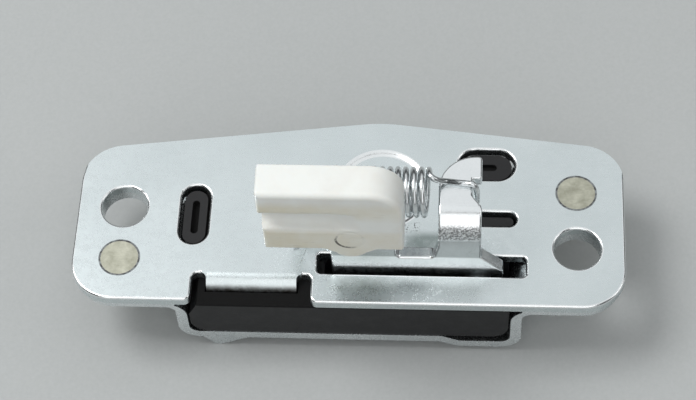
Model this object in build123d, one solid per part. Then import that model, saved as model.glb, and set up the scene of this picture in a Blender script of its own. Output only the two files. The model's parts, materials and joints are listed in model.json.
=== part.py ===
from build123d import *
from math import asin, atan2, cos, degrees, pi, radians, sin
import os

# Rotary latch of a van door: a zinc-plated cover plate closes a bent sheet case,
# a turning claw inside the case catches the striker pin, and a release lever
# that rocks in a long window of the plate holds and frees the claw.
# Frame: +X to the right of the plate, +Y towards its roof-shaped rear edge,
# +Z out of the plate. Origin midway between the two mounting holes, on the
# plate's upper face. Millimetres.

# Cover plate
left_flange = 21.6
right_flange = 20.8
plate_thick = 2.0
plate_front = 16.0
rear_left_y = 16.4
rear_right_y = 18.1
roof_x = 5.3
roof_y = 23.4
corner_r = 8.0
roof_r = 30.0

# Holes in the plate
mount_hole_d = 8.6
mount_hole_edge = 8.8
mount_hole_y = 3.7
rivet_d = 7.0
rivet_edge = 8.9
rivet_left_y = -7.4
rivet_right_y = 8.3
left_slot_w = 5.5
left_slot_len = 12.7
left_slot_x = -28.9
left_slot_y = 2.3
wide_slot_w = 6.8
wide_slot_len = 10.7
wide_slot_x = 25.4
wide_slot_y = 14.3
thin_slot_w = 3.1
thin_slot_len = 11.6
thin_slot_x = 25.3
thin_slot_y = 2.4

# Window for the lever
window_len = 38.2
window_x = 13.7
window_side_gap = 0.9
window_corner_r = 0.8

# Sunk dish round the claw's stud
dish_x = 5.9
dish_y = 8.5
dish_r = 8.8
dish_depth = 1.0
dish_slope = 1.2

# Front notch with the folded tongue
notch_left = -28.4
notch_right = -6.4
relief_w = 2.7
relief_depth = 5.8
tongue_bend_r = 3.0
tongue_drop = 4.3
tongue_front = 12.9

# Sheet case under the plate
case_thick = 2.0
case_left = -29.4
case_right = 30.2
case_depth = 10.1
case_rear = 17.9
flange_inset = 0.5
case_bend_r = 3.0
joggle_x = 17.5
joggle_run = 3.0
joggle_drop = 1.6
ramp_x = -27.4
ramp_len = 9.4
ramp_drop = 2.7
ramp_back = 20.0

# Plastic liner in the case
liner_gap = 0.4
liner_floor = 1.8
liner_front_wall = 4.6
liner_end_wall = 2.5
slot_boss_gap = 0.6
slot_boss_sink = 0.9
groove_w = 1.4
groove_depth = 1.3

# Claw and its stud
stud_r = 3.0
stud_head_r = 5.0
stud_head_h = 1.2
stud_upset_r = 3.9
stud_upset_h = 0.7
running_gap = 0.05
bush_wall = 1.0
claw_thick = 3.4
claw_lift = 0.6
claw_body_r = 11.6
rear_jaw_reach = 2.3
front_jaw_reach = 5.8
striker_r = 4.0
striker_gap = 0.3
throat_reach = 11.5
claw_open_deg = 58.0
jacket_wall = 1.1
jacket_gap = 0.02
lock_notch_deg = 13.0
tail_reach = 2.0
tail_from = 20.0
tail_to = 50.0
pocket_gap = 0.8
pocket_side = 0.5

# Release lever
lever_thick = 2.5
lever_front = 9.0
blade_left = -2.7
blade_left_h = 7.0
blade_right = 28.6
slope_x = 24.5
slope_z = 5.0
saddle_left = 9.2
saddle_right = 16.0
saddle_z = 4.5
arm_left = 16.8
arm_top = 16.3
arm_bend_r = 2.0
arm_back = 5.6
arm_corner_r = 6.6
hook_notch_depth = 1.7
hook_notch_rear = 0.9
hook_notch_front = -2.7
lug_right = 9.2
eye_x = 1.8
eye_z = 21.5
eye_wall = 2.4
peg_r = 2.0
tooth_gap = 0.35
tooth_right = 5.0
lever_pin_x = 24.0
lever_pin_z = -5.1
lever_pin_r = 2.4
lever_pin_front = 13.2
lever_pin_back = 2.6
lever_hub_r = 4.4

# Rod clip
clip_depth = 6.5
clip_face_gap = 0.1
clip_left = 15.7
clip_right = 9.3
clip_top = 14.0
clip_bottom = 3.6
clip_corner_r = 6.0
clip_edge_r = 0.4
clip_bump_r = 3.6
clip_bump_drop = 6.2
rod_r = 2.5
rod_height = 5.5
rod_reach = 0.6
arm_step = 0.6

# Return spring of the lever
wire_r = 0.55
coil_r = 4.05
coil_pitch = 1.38
coil_turns = 13
turn_steps = 8
coil_end_deg = 68.0
coil_right = 15.1
coil_y = -1.5
coil_z = 15.05

# Anchor of the return spring
anchor_thick = 2.0
anchor_x = -9.2
anchor_foot = 8.0
anchor_w = 6.0
anchor_top = 17.6
anchor_rivet_r = 1.6
anchor_head_r = 2.6
anchor_head_h = 1.1

# Claw spring
claw_wire_r = 0.45
claw_coil_r = 5.4
claw_coil_pitch = 1.0

# Rubber bumpers
bumper_r = 1.6
bumper_gap = 0.2
mouth_pad = 1.4

# Length of a cut that has to pass through everything
through = 60.0

# Values that follow from the ones above
plate_left = case_left - left_flange
plate_right = case_right + right_flange
left_hole_x = plate_left + mount_hole_edge
right_hole_x = plate_right - mount_hole_edge
left_rivet_x = plate_left + rivet_edge
right_rivet_x = plate_right - rivet_edge
case_top = -plate_thick
floor_top = case_top - case_depth
floor_under = floor_top - case_thick
liner_top = case_top - 0.05
liner_under = floor_top + 0.05
pocket_floor = liner_under + liner_floor
claw_under = pocket_floor + claw_lift
claw_top = claw_under + claw_thick
lever_back = lever_front - lever_thick
window_front = lever_front + window_side_gap
window_back = lever_back - window_side_gap
tooth_under = claw_top + jacket_wall * 0.5 + tooth_gap
bush_r = stud_r + running_gap + bush_wall
tail_r = claw_body_r + tail_reach
rear_jaw_r = claw_body_r + rear_jaw_reach
front_jaw_r = claw_body_r + front_jaw_reach
pocket_right = dish_x + tail_r + pocket_side
mouth_x = dish_x - throat_reach
mouth_half = striker_r + striker_gap + 0.4
anchor_rivet_x = anchor_x + anchor_foot * 0.55
clip_back = lever_front + clip_face_gap
clip_front = clip_back + clip_depth


def box(x0, x1, y0, y1, z0, z1):
    return Pos((x0 + x1) / 2, (y0 + y1) / 2, (z0 + z1) / 2) * Box(x1 - x0, y1 - y0, z1 - z0)


def rod_z(x, y, z0, z1, r):
    return Pos(x, y, (z0 + z1) / 2) * Cylinder(r, z1 - z0)


def rod_y(x, z, y0, y1, r):
    return Pos(x, (y0 + y1) / 2, z) * Rot(90, 0, 0) * Cylinder(r, y1 - y0)


def poly(*points):
    return make_face(Polyline(*points, close=True))


def along_y(face, y0, y1):
    # A face drawn as (x, z), pushed from y1 to y0.
    plane = Plane(origin=(0, y1, 0), x_dir=(1, 0, 0), z_dir=(0, -1, 0))
    return extrude(plane * face, amount=y1 - y0)


def along_x(face, x0, x1):
    # A face drawn as (y, z), pushed from x0 to x1.
    plane = Plane(origin=(x0, 0, 0), x_dir=(0, 1, 0), z_dir=(1, 0, 0))
    return extrude(plane * face, amount=x1 - x0)


def slot_z(x, y, length, width, z0, z1, angle=0):
    shape = SlotOverall(length, width, rotation=angle)
    return extrude(Pos(x, y, z0) * shape, amount=z1 - z0)


def plate_outline(inset=0.0):
    left = plate_left + inset
    right = plate_right - inset
    front = -plate_front + inset
    face = poly(
        (left, front),
        (right, front),
        (right, rear_right_y - inset),
        (roof_x, roof_y - inset),
        (left, rear_left_y - inset),
    )
    corners = [v for v in face.vertices() if abs(v.X - roof_x) > 1.0]
    face = fillet(corners, corner_r - inset)
    top = [v for v in face.vertices() if abs(v.X - roof_x) < 0.5]
    return fillet(top, roof_r)


def fixing_places():
    # Mounting holes and rivets, measured from the plate's ends.
    return (
        (left_hole_x, mount_hole_y, mount_hole_d),
        (right_hole_x, -mount_hole_y, mount_hole_d),
        (left_rivet_x, rivet_left_y, rivet_d),
        (right_rivet_x, rivet_right_y, rivet_d),
    )


def dish_solid(depth_from, extra):
    # Truncated cone that the press tool leaves, upper face outwards.
    low_r = dish_r - dish_slope
    face = poly(
        (0, depth_from),
        (dish_r + extra, depth_from),
        (low_r + extra, depth_from - dish_depth),
        (0, depth_from - dish_depth),
    )
    return Pos(dish_x, dish_y, 0) * revolve(Plane.XZ * face, Axis.Z)


def make_mounting_plate():
    body = extrude(Pos(0, 0, -plate_thick) * plate_outline(), amount=plate_thick)
    body += dish_solid(-plate_thick, plate_thick * 0.4)
    body -= dish_solid(0, 0)
    for x, y, width in fixing_places():
        body -= rod_z(x, y, -through, through, width / 2)
    body -= slot_z(left_slot_x, left_slot_y, left_slot_len, left_slot_w, -through, through, 90)
    body -= slot_z(wide_slot_x, wide_slot_y, wide_slot_len, wide_slot_w, -through, through)
    body -= slot_z(thin_slot_x, thin_slot_y, thin_slot_len, thin_slot_w, -through, through)
    window = box(
        window_x - window_len / 2,
        window_x + window_len / 2,
        -window_front,
        -window_back,
        -9,
        9,
    )
    body -= fillet(window.edges().filter_by(Axis.Z), window_corner_r)
    body -= rod_z(dish_x, dish_y, -through, through, stud_r - 0.6)
    body -= rod_z(anchor_rivet_x, coil_y, -through, through, anchor_rivet_r)
    # Front notch: two reliefs with round ends and a tongue folded down between them.
    relief_top = -plate_front + relief_depth
    for x0 in (notch_left, notch_right - relief_w):
        cut = box(x0, x0 + relief_w, -plate_front - 1, relief_top, -through, through)
        rear = [e for e in cut.edges().filter_by(Axis.Z) if e.center().Y > relief_top - 0.1]
        body -= fillet(rear, relief_w * 0.45)
    tongue_left = notch_left + relief_w
    tongue_right = notch_right - relief_w
    tongue_rear = -tongue_front + tongue_bend_r
    body -= box(tongue_left - 0.01, tongue_right + 0.01, -plate_front - 1, tongue_rear, -through, through)
    fold = poly(
        (tongue_rear, 0),
        (-tongue_front, 0),
        (-tongue_front, -tongue_drop),
        (-tongue_front + plate_thick, -tongue_drop),
        (-tongue_front + plate_thick, -plate_thick),
        (tongue_rear, -plate_thick),
    )
    outer = [v for v in fold.vertices() if abs(v.X + tongue_front) < 0.01 and abs(v.Y) < 0.01]
    fold = fillet(outer, tongue_bend_r - 0.05)
    body += along_x(fold, tongue_left, tongue_right)
    # The press leaves a small soft corner where the notch meets the front edge.
    corners = []
    for e in body.edges().filter_by(Axis.Z):
        c = e.center()
        if abs(c.Y + plate_front) < 0.05 and (abs(c.X - notch_left) < 0.05 or abs(c.X - notch_right) < 0.05):
            corners.append(e)
    return fillet(corners, 1.3)


def case_sheet():
    t = case_thick
    mid = case_top - t / 2
    low = floor_top - t / 2
    line = FilletPolyline(
        (plate_left, mid),
        (case_left - t / 2, mid),
        (case_left - t / 2, low),
        (joggle_x, low),
        (joggle_x + joggle_run, low - joggle_drop),
        (case_right + t / 2, low - joggle_drop),
        (case_right + t / 2, mid),
        (plate_right, mid),
        radius=[case_bend_r, case_bend_r, t * 0.75, t * 0.75, case_bend_r, case_bend_r],
    )
    return trace(line, line_width=t)


def make_case_shell():
    body = along_y(case_sheet(), -plate_front, case_rear)
    keep = extrude(Pos(0, 0, -through) * plate_outline(flange_inset), amount=through)
    pan = box(
        case_left - case_thick,
        case_right + case_thick,
        -plate_front,
        case_rear,
        -through,
        0,
    )
    body = (body & keep) + (body & pan)
    # Pressed ramp under the floor that leads the striker plate's edge.
    ramp = poly(
        (ramp_x, floor_under + 0.3),
        (ramp_x + ramp_len * 0.25, floor_under - ramp_drop),
        (ramp_x + ramp_len * 0.36, floor_under - ramp_drop - 0.1),
        (ramp_x + ramp_len, floor_under + 0.3),
    )
    body += along_y(ramp, -plate_front, -plate_front + ramp_back)
    for x, y, width in fixing_places():
        body -= rod_z(x, y, -through, through, width / 2)
    body -= rod_z(dish_x, dish_y, -30, floor_top + 1, stud_r)
    body -= mouth_cut(mouth_half, -30, floor_top + 1)
    return body


def mouth_cut(half_width, z0, z1):
    cut = box(mouth_x - half_width, mouth_x + half_width, dish_y, case_rear + 20, z0, z1)
    return cut + rod_z(mouth_x, dish_y, z0, z1, half_width)


def claw_outline(extra=0.0, throat_extra=0.0, bare=False):
    # The claw as it lies when closed: throat towards -X, front jaw towards -Y.
    def sector(r, a0, a1):
        pts = [(0, 0)]
        steps = 16
        for i in range(steps + 1):
            a = radians(a0 + (a1 - a0) * i / steps)
            pts.append((r * cos(a), r * sin(a)))
        return poly(*pts)

    tooth_mid = degrees(atan2(-(lever_front - lever_thick / 2) - dish_y, blade_left + 3.3 - dish_x)) % 360
    notch_end = tooth_mid + lock_notch_deg / 2
    notch_start = tooth_mid - lock_notch_deg / 2
    face = Circle(claw_body_r + extra)
    face += sector(rear_jaw_r + extra, 145, 181)
    face += sector(front_jaw_r + extra, 181, notch_start)
    face += sector(front_jaw_r + extra, notch_end, notch_end + 30)
    face += sector(tail_r + extra, tail_from, tail_to)
    w = striker_r + striker_gap + throat_extra
    throat = Pos(-throat_reach, 0) * Circle(w)
    throat += Pos(-throat_reach - 15, 0) * Rectangle(30, 2 * w)
    return face - throat


def claw_at_rest(solid):
    return Pos(dish_x, dish_y, 0) * Rot(0, 0, -claw_open_deg) * solid


def make_catch_claw():
    steel = extrude(Pos(0, 0, claw_under) * claw_outline(-jacket_wall * 0.5, jacket_wall), amount=claw_thick)
    steel -= rod_z(0, 0, -through, through, bush_r + 0.02)
    steel -= rod_z(claw_coil_r, 0, claw_top - 1.6, 9, claw_wire_r + 0.05)
    return claw_at_rest(steel)


def make_claw_jacket():
    # Moulded cover round the jaws and the throat, open round the stud and the locking faces.
    outer = extrude(
        Pos(0, 0, claw_under - jacket_wall * 0.4) * claw_outline(0.0, 0.0),
        amount=claw_thick + jacket_wall * 0.8,
    )
    steel = extrude(
        Pos(0, 0, claw_under - jacket_gap)
        * claw_outline(-jacket_wall * 0.5 + jacket_gap, jacket_wall - jacket_gap),
        amount=claw_thick + 2 * jacket_gap,
    )
    shell = outer - steel
    clear = Rectangle(60, 60, align=(Align.MIN, Align.CENTER))
    bare_r = claw_coil_r + claw_wire_r + 0.3
    shell -= extrude(Pos(-bare_r, 0, -40) * clear, amount=60)
    lock_zone = poly((0, 0), (60 * cos(radians(232)), 60 * sin(radians(232))), (60, -60), (60, 0))
    shell -= extrude(Pos(0, 0, -40) * lock_zone, amount=60)
    solids = sorted(shell.solids(), key=lambda s: s.volume)
    return claw_at_rest(solids[-1])


def make_claw_bush():
    bush = rod_z(dish_x, dish_y, pocket_floor + 0.05, claw_top + 0.4, bush_r)
    return bush - rod_z(dish_x, dish_y, -through, through, stud_r + running_gap)


def make_claw_stud():
    dish_floor = -dish_depth
    stud = rod_z(dish_x, dish_y, floor_under, -plate_thick - dish_depth, stud_r)
    stud += rod_z(dish_x, dish_y, floor_under - stud_head_h, floor_under, stud_head_r)
    stud += rod_z(dish_x, dish_y, -plate_thick - dish_depth, dish_floor, stud_r - 0.6)
    stud += rod_z(dish_x, dish_y, dish_floor, dish_floor + stud_upset_h, stud_upset_r)
    head = [e for e in stud.edges().filter_by(GeomType.CIRCLE) if e.center().Z < floor_under - stud_head_h + 0.05]
    return chamfer(head, 0.35)


def make_stud_washer():
    top = -plate_thick - dish_depth - 0.05
    washer = rod_z(dish_x, dish_y, top - 0.5, top, stud_r + 1.4)
    return washer - rod_z(dish_x, dish_y, -through, through, stud_r + 0.05)


def pin_saddles():
    # Open-topped cradle for the lever's pin.
    r = lever_pin_r
    cut = rod_y(lever_pin_x, lever_pin_z, -lever_pin_front, -lever_pin_back, r)
    return cut + box(
        lever_pin_x - r,
        lever_pin_x + r,
        -lever_pin_front,
        -lever_pin_back,
        lever_pin_z,
        9,
    )


def make_case_liner():
    x0 = case_left + liner_gap
    x1 = case_right - liner_gap
    y0 = -plate_front + 0.15
    y1 = case_rear - 0.6
    body = box(x0, x1, y0, y1, liner_under, liner_top)
    lower = [e for e in body.edges().filter_by(Axis.Y) if e.center().Z < liner_under + 0.1]
    body = fillet(lower, case_bend_r + 0.4)
    upper = [e for e in body.edges().filter_by(Axis.Y) if e.center().X < x0 + 0.1 and e.center().Z > liner_top - 0.1]
    body = chamfer(upper, 3.6, 1.8)
    # Room for the claw's whole travel.
    sweep_r = front_jaw_r + pocket_gap
    pocket = rod_z(dish_x, dish_y, pocket_floor, 9, sweep_r)
    pocket &= box(x0 + liner_end_wall, pocket_right, y0 + liner_front_wall, through, -through, through)
    body -= pocket
    # Slot for the lever's blade and hub.
    deep = min(lever_pin_z - lever_hub_r - 0.5, tooth_under - 0.5)
    body -= box(
        blade_left - 1.5,
        case_right,
        -window_front,
        -window_back,
        deep,
        9,
    )
    body -= pin_saddles()
    # Mouth for the striker, through the floor and the rear wall.
    body -= mouth_cut(mouth_half + 0.3, -40, pocket_floor + 0.1)
    body -= rod_z(mouth_x, dish_y, -40, pocket_floor + 0.1, mouth_half + mouth_pad + 0.03)
    pad = mouth_half + mouth_pad + 0.03
    body -= box(mouth_x - pad, mouth_x + pad, dish_y, dish_y + 3.03, -40, pocket_floor + 0.1)
    rear = box(mouth_x - mouth_half - 0.3, mouth_x + mouth_half + 0.3, dish_y, 60, -through, through)
    body -= rear
    body -= rod_z(dish_x, dish_y, -through, through, stud_r + 0.05)
    body -= dish_solid(-plate_thick, plate_thick * 0.4 + 0.1)
    # Underside of the anchor rivet, the tongue and the rubber bumpers.
    body -= rod_z(anchor_rivet_x, coil_y, case_top - anchor_head_h - 0.3, 9, anchor_head_r + 0.3)
    tongue_left = notch_left + relief_w
    tongue_right = notch_right - relief_w
    body -= box(
        tongue_left - 0.3,
        tongue_right + 0.3,
        -tongue_front - 0.25,
        -tongue_front + plate_thick + 0.6,
        -tongue_drop - 0.4,
        9,
    )
    bx, by = bumper_place()
    body -= rod_z(bx, by, pocket_floor - 1.0, 9, bumper_r)
    body -= lever_stop_block(0.0)
    # Bosses that fill the plate's slots, each with a ring gap and a groove.
    top = -plate_thick + slot_boss_sink
    for x, y, length, width, angle in slot_places():
        w = width - 2 * slot_boss_gap
        boss = slot_z(x, y, length - 2 * slot_boss_gap, w, liner_top - 0.5, top, angle)
        if w > 2 * groove_w:
            inner = slot_z(x, y, length - width, groove_w, top - groove_depth, 9, angle)
            boss -= inner
        body += boss
    return body


def slot_places():
    return (
        (left_slot_x, left_slot_y, left_slot_len, left_slot_w, 90),
        (wide_slot_x, wide_slot_y, wide_slot_len, wide_slot_w, 0),
        (thin_slot_x, thin_slot_y, thin_slot_len, thin_slot_w, 0),
    )


def bumper_place():
    # In front of the tail's flank when the claw is open.
    reach = tail_r
    lag = degrees(asin((bumper_r + bumper_gap) / reach))
    a = radians(tail_from - claw_open_deg - lag)
    return dish_x + reach * cos(a), dish_y + reach * sin(a)


def make_claw_stop_bumper():
    x, y = bumper_place()
    body = rod_z(x, y, pocket_floor - 1.0, claw_top, bumper_r - 0.02)
    edge = [e for e in body.edges().filter_by(GeomType.CIRCLE) if e.center().Z > claw_top - 0.05]
    return chamfer(edge, 0.4)


def make_mouth_bumper():
    # U-shaped rubber round the closed end of the mouth, let into the liner's floor.
    z0 = liner_under + 0.02
    z1 = pocket_floor - 0.05
    outer = mouth_half + mouth_pad
    body = rod_z(mouth_x, dish_y, z0, z1, outer)
    body += box(mouth_x - outer, mouth_x + outer, dish_y, dish_y + 3.0, z0, z1)
    body &= box(-60, 60, -60, dish_y + 3.0, -60, 60)
    return body - mouth_cut(mouth_half + 0.05, -through, through)


def lever_stop_block(gap):
    # Seat of the rubber block under the blade, between claw and pin.
    x0 = lever_pin_x - 5.4
    return box(x0 - 2.6 + gap, x0 - gap, -window_front + gap, -window_back - gap, floor_top + 1.2, 9)


def make_lever_stop():
    x0 = lever_pin_x - 5.4
    return box(
        x0 - 2.6 + 0.02,
        x0 - 0.02,
        -window_front + 0.02,
        -window_back - 0.02,
        floor_top + 1.2,
        tooth_under - bumper_gap,
    )


def make_release_lever():
    base = tooth_under
    hub_low = lever_pin_z - lever_hub_r
    face = poly(
        (blade_left, base),
        (tooth_right, base),
        (lever_pin_x - lever_hub_r, base),
        (lever_pin_x, hub_low + lever_hub_r * 0.6),
        (lever_pin_x + lever_hub_r, lever_pin_z),
        (blade_right + 0.1, -plate_thick / 2),
        (blade_right, 0.5),
        (slope_x, slope_z),
        (slope_x, saddle_z + 4),
        (arm_left, saddle_z + 4),
        (saddle_right, saddle_z),
        (saddle_left, saddle_z),
        (lug_right, blade_left_h),
        (eye_x + peg_r + eye_wall, eye_z),
        (eye_x - peg_r - eye_wall, eye_z),
        (blade_left, blade_left_h),
    )
    low_left = [v for v in face.vertices() if abs(v.X - blade_left) < 0.05]
    face = fillet(low_left, 1.6)
    notch = [
        v
        for v in face.vertices()
        if abs(v.Y - saddle_z) < 0.05 and saddle_left - 0.05 < v.X < saddle_right + 0.05
    ]
    face = fillet(notch, 1.0)
    face += Pos(eye_x, eye_z) * Circle(peg_r + eye_wall)
    face += Pos(lever_pin_x, lever_pin_z) * Circle(lever_hub_r)
    blade = along_y(face, -lever_front, -lever_back)
    # Arm that is bent back over the plate.
    mid = -lever_front + lever_thick / 2
    line = FilletPolyline(
        (mid, saddle_z + 3),
        (mid, arm_top - lever_thick / 2),
        (arm_back, arm_top - lever_thick / 2),
        radius=arm_bend_r + lever_thick / 2,
    )
    arm = along_x(trace(line, line_width=lever_thick), arm_left, slope_x)
    top = poly(
        (arm_left, -lever_front - 1),
        (slope_x, -lever_front - 1),
        (slope_x, hook_notch_front - 2.2),
        (slope_x - hook_notch_depth, hook_notch_front),
        (slope_x - hook_notch_depth, hook_notch_rear),
        (slope_x, hook_notch_rear),
        (slope_x, arm_back),
        (arm_left, arm_back),
    )
    corner = [v for v in top.vertices() if v.X < arm_left + 0.05 and v.Y > arm_back - 0.05]
    top = fillet(corner, arm_corner_r)
    small = [v for v in top.vertices() if v.X > slope_x - 0.05 and v.Y > arm_back - 0.05]
    top = fillet(small, 0.7)
    arm &= extrude(Pos(0, 0, -5) * top, amount=60)
    body = blade + arm
    body -= rod_y(eye_x, eye_z, -30, 30, peg_r + running_gap)
    body -= rod_y(lever_pin_x, lever_pin_z, -30, 30, lever_pin_r + running_gap)
    return body


def make_lever_pin():
    pin = rod_y(lever_pin_x, lever_pin_z, -lever_pin_front + 0.1, -lever_pin_back - 0.1, lever_pin_r)
    ends = pin.edges().filter_by(GeomType.CIRCLE)
    return chamfer(ends, 0.3)


def clip_profile():
    # Drawn with the peg's axis as origin.
    face = poly(
        (-clip_left, clip_top),
        (clip_right, clip_top),
        (clip_right, -clip_bottom),
        (-clip_left + arm_step, -clip_bottom),
        (-clip_left + arm_step, rod_height),
        (-clip_left, rod_height),
    )
    big = [v for v in face.vertices() if v.X > clip_right - 0.05 and v.Y > clip_top - 0.05]
    face = fillet(big, clip_corner_r)
    rest = [v for v in face.vertices() if v.X < -clip_left + 0.05 or v.Y < -clip_bottom + 0.05]
    face = fillet(rest, clip_edge_r)
    bump = Pos(0, -clip_bump_drop + clip_bump_r) * Circle(clip_bump_r)
    bump += Pos(0, -clip_bump_drop + clip_bump_r + 3) * Rectangle(2 * clip_bump_r, 6)
    return face + bump


def make_rod_clip():
    body = along_y(Pos(eye_x, eye_z) * clip_profile(), -clip_front, -clip_back)
    edges = [e for e in body.edges() if abs(e.center().Y + clip_front) < 0.01]
    body = chamfer(edges, 0.35)
    # Half-round seat of the rod in the front face, ending over the peg.
    seat_z = eye_z + rod_height
    seat_end = eye_x + rod_reach
    groove = Pos(0, -clip_front, seat_z) * Rot(0, 90, 0) * Cylinder(rod_r, 80)
    groove &= box(-60, seat_end, -60, 60, -60, 90)
    body -= groove
    # Peg through the lever's eye, with a snap head behind the sheet.
    body += rod_y(eye_x, eye_z, -clip_back - 0.5, -lever_back + 0.2, peg_r)
    body += Pos(eye_x, -lever_back + 0.9, eye_z) * Rot(-90, 0, 0) * Cone(peg_r + 0.7, peg_r - 0.4, 1.4)
    return body


def bent_wire(points, r, sides=5):
    # Straight runs joined by mitres: every face of the wire is flat, which keeps the turns light.
    p = [Vector(*q) for q in points]
    runs = [(q - o).normalized() for o, q in zip(p, p[1:])]
    side = runs[0].cross(Vector(0.3, 0.2, 0.93)).normalized()
    up = side.cross(runs[0])
    ring = []
    for k in range(sides):
        t = 2 * pi * k / sides
        ring.append(p[0] + side * (r * cos(t)) + up * (r * sin(t)))
    rings = [ring]
    for i, d in enumerate(runs):
        n = (d + runs[i + 1]).normalized() if i + 1 < len(runs) else d
        ring = [v + d * ((p[i + 1] - v).dot(n) / d.dot(n)) for v in ring]
        rings.append(ring)
    faces = [Face(Wire.make_polygon(rings[0])), Face(Wire.make_polygon(rings[-1]))]
    for lower, upper in zip(rings, rings[1:]):
        for k in range(sides):
            j = (k + 1) % sides
            faces.append(Face(Wire.make_polygon([lower[k], lower[j], upper[j], upper[k]])))
    return Solid(Shell(faces))


def curve(p0, d0, p1, d1, count):
    # Points of a smooth bend from p0 to p1 that leaves along d0 and arrives along d1, without its two ends.
    points = []
    for i in range(1, count + 1):
        t = i / (count + 1)
        a = 2 * t**3 - 3 * t**2 + 1
        b = t**3 - 2 * t**2 + t
        c = 3 * t**2 - 2 * t**3
        d = t**3 - t**2
        points.append(tuple(a * w + b * x + c * y + d * z for w, x, y, z in zip(p0, d0, p1, d1)))
    return points


def make_return_spring():
    length = coil_turns * coil_pitch
    coil_left = coil_right - length
    steps = round(coil_turns * turn_steps)
    turns = []
    for i in range(steps + 1):
        a = radians(coil_end_deg) - 2 * pi * (steps - i) / turn_steps
        x = coil_left + length * i / steps
        turns.append((x, coil_y + coil_r * cos(a), coil_z + coil_r * sin(a)))
    end = radians(coil_end_deg)
    along = (2.0, -6.0 * sin(end), 6.0 * cos(end))
    # Right end: over the arm's upper face and down through its notch.
    rest_z = arm_top + wire_r + 0.05
    leg_y = coil_y + 1.2
    hook_x = slope_x - hook_notch_depth + wire_r + 0.25
    q1 = (coil_right + 3.2, leg_y, rest_z)
    q2 = (hook_x - 1.4, leg_y - 0.4, rest_z)
    q4 = (hook_x, leg_y - 1.6, arm_top - lever_thick - 0.9)
    bend = curve(turns[-1], along, q1, (4.0, 0.6, -1.6), 6)
    over = curve(q2, (5.0, -0.6, 2.4), q4, (0, -0.6, -3.4), 7)
    right = bend + [q1, q2] + over + [q4]
    # Left end: through the anchor's hole and down behind it.
    near = anchor_x + anchor_thick / 2 + 1.2
    far = anchor_x - anchor_thick / 2 - wire_r - 0.02
    a1 = (near, coil_y, coil_z)
    lead = curve(a1, (6.0, 0, 0), turns[0], (0.6, -6.5 * sin(end), 6.5 * cos(end)), 9)
    left = [
        (far, coil_y, coil_z - 1.7),
        (far, coil_y, coil_z - 0.75),
        (far + 0.25, coil_y, coil_z - 0.12),
        a1,
    ]
    return bent_wire(left + lead + turns + right, wire_r)


def make_spring_anchor():
    t = anchor_thick
    foot_end = anchor_x - t / 2 + anchor_foot
    line = FilletPolyline(
        (foot_end, t / 2),
        (anchor_x, t / 2),
        (anchor_x, anchor_top),
        radius=t * 0.8,
    )
    body = along_y(trace(line, line_width=t), coil_y - anchor_w / 2, coil_y + anchor_w / 2)
    tips = [e for e in body.edges().filter_by(Axis.X) if e.center().Z > anchor_top - 0.05]
    body = fillet(tips, 2.0)
    ends = [e for e in body.edges().filter_by(Axis.Z) if e.center().X > foot_end - 0.05]
    body = fillet(ends, 2.0)
    body -= Pos(anchor_x, coil_y, coil_z) * Rot(0, 90, 0) * Cylinder(wire_r + 0.15, 6)
    body -= rod_z(anchor_rivet_x, coil_y, -through, through, anchor_rivet_r)
    return body


def make_anchor_rivet():
    x = anchor_rivet_x
    body = rod_z(x, coil_y, -plate_thick, anchor_thick, anchor_rivet_r)
    body += rod_z(x, coil_y, anchor_thick, anchor_thick + anchor_head_h, anchor_head_r)
    return body + rod_z(x, coil_y, -plate_thick - anchor_head_h, -plate_thick, anchor_head_r)


def make_rivet(x, y):
    # Flush on the plate, closed with a low head under the case flange.
    under = -plate_thick - case_thick
    body = rod_z(x, y, under, 0.0, rivet_d / 2)
    return body + rod_z(x, y, under - 1.3, under, rivet_d / 2 + 1.6)


def make_claw_spring():
    # Torsion spring over the claw: its lower end stands in the claw, its leg bears on the liner.
    z0 = claw_top + claw_wire_r + 0.1
    first = -claw_open_deg
    last = -270.0 - 360.0
    steps = round((first - last) / 360 * turn_steps)
    px = dish_x + claw_coil_r * cos(radians(first))
    py = dish_y + claw_coil_r * sin(radians(first))
    path = [(px, py, claw_top - 1.4), (px, py, z0 - 0.45)]
    lift = radians(first - 5)
    path.append((dish_x + claw_coil_r * cos(lift), dish_y + claw_coil_r * sin(lift), z0 - 0.05))
    z = z0
    for i in range(1, steps + 1):
        a = radians(first + (last - first) * i / steps)
        z = z0 + claw_coil_pitch * (first - last) / 360 * i / steps
        path.append((dish_x + claw_coil_r * cos(a), dish_y + claw_coil_r * sin(a), z))
    path.append((pocket_right - 0.1, dish_y + claw_coil_r, z))
    return bent_wire(path, claw_wire_r)


parts = {
    "mounting_plate": make_mounting_plate(),
    "case_shell": make_case_shell(),
    "case_liner": make_case_liner(),
    "rivet_left": make_rivet(left_rivet_x, rivet_left_y),
    "rivet_right": make_rivet(right_rivet_x, rivet_right_y),
    "lever_pin": make_lever_pin(),
    "release_lever": make_release_lever(),
    "return_spring": make_return_spring(),
    "rod_clip": make_rod_clip(),
    "spring_anchor": make_spring_anchor(),
    "anchor_rivet": make_anchor_rivet(),
    "catch_claw": make_catch_claw(),
    "claw_jacket": make_claw_jacket(),
    "claw_bush": make_claw_bush(),
    "claw_stud": make_claw_stud(),
    "stud_washer": make_stud_washer(),
    "claw_spring": make_claw_spring(),
    "claw_stop_bumper": make_claw_stop_bumper(),
    "mouth_bumper": make_mouth_bumper(),
    "lever_stop_block": make_lever_stop(),
}

os.makedirs("parts", exist_ok=True)
for name, solid in parts.items():
    export_step(solid, "parts/" + name + ".step")
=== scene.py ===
# %% [markdown]
# This lesson dresses a van door latch. The CAD model gives every piece its place, so we
# start by loading it as a fixed frame. A node of it that already looks right only gets a
# finish, and a node that needs softer edges is replaced by a finer piece in the same place.

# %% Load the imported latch
import json
from math import cos, pi, radians, sin

import bmesh
import bpy
import numpy as np
from mathutils import Matrix, Vector

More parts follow.
